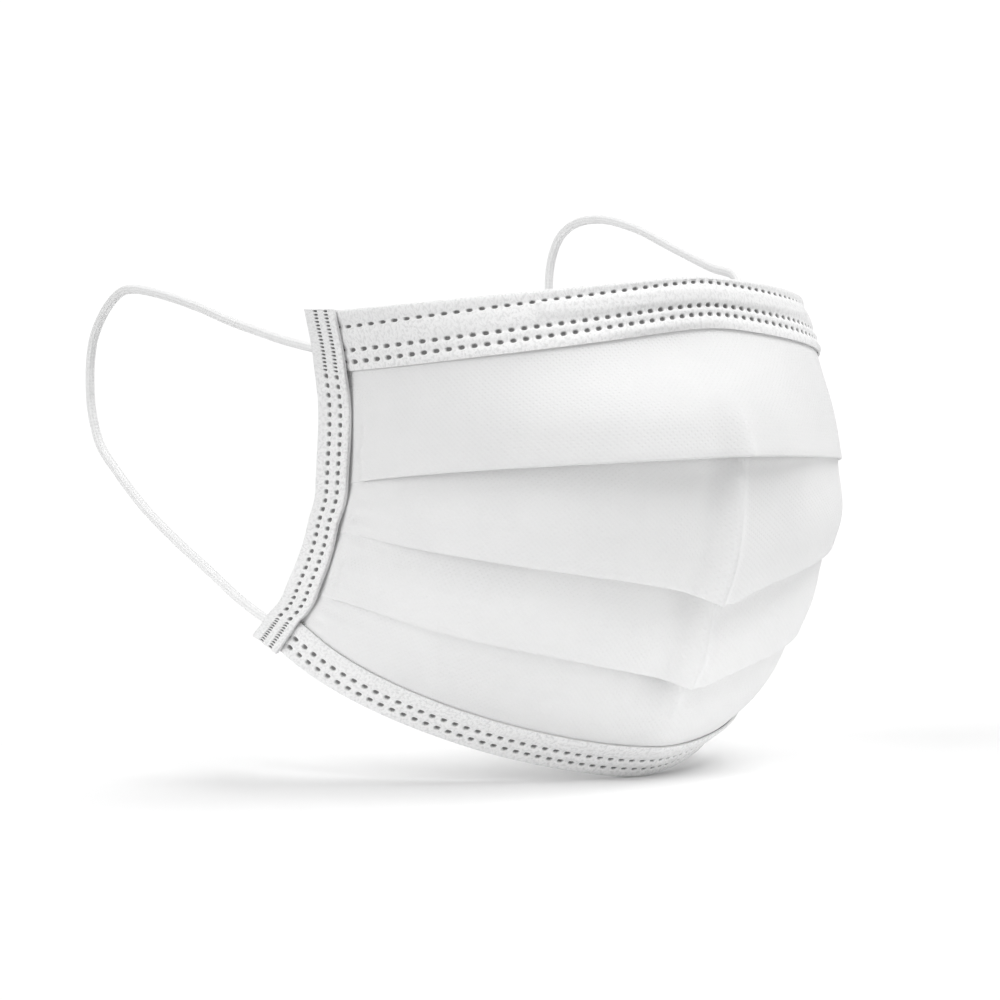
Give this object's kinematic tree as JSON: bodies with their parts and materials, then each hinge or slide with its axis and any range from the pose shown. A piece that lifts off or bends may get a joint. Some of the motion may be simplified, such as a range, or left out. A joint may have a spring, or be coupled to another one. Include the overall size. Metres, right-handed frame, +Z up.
{
  "type": "surgical face mask",
  "caption": "Pleated white surgical face mask in its worn form: a cloth panel with opened pleats, welded nose and chin bands, side bindings and elastic ear loops.",
  "frame": {"origin": "middle of the opening that the face goes into, between the side bindings", "axes": "+Z up towards the nose band, +Y towards the wearer, +X to the right as seen from the front of the mask"},
  "size_m": [0.1298, 0.1802, 0.1346],
  "materials": {
    "panel_cloth": "matt white spunbond nonwoven with a fine point-bond pattern",
    "band_cloth": "matt white spunbond nonwoven, welded in rows of dots",
    "wire": "flat soft wire in a smooth pale coating, hidden in the nose band",
    "elastic": "round knitted white elastic"
  },
  "bodies": {
    "root": {"pleated_panel": "panel_cloth", "nose_band": "band_cloth", "nose_wire": "wire", "chin_band": "band_cloth", "side_binding_left": "band_cloth", "side_binding_right": "band_cloth", "ear_loop_left": "elastic", "ear_loop_right": "elastic"}
  },
  "joints": []
}
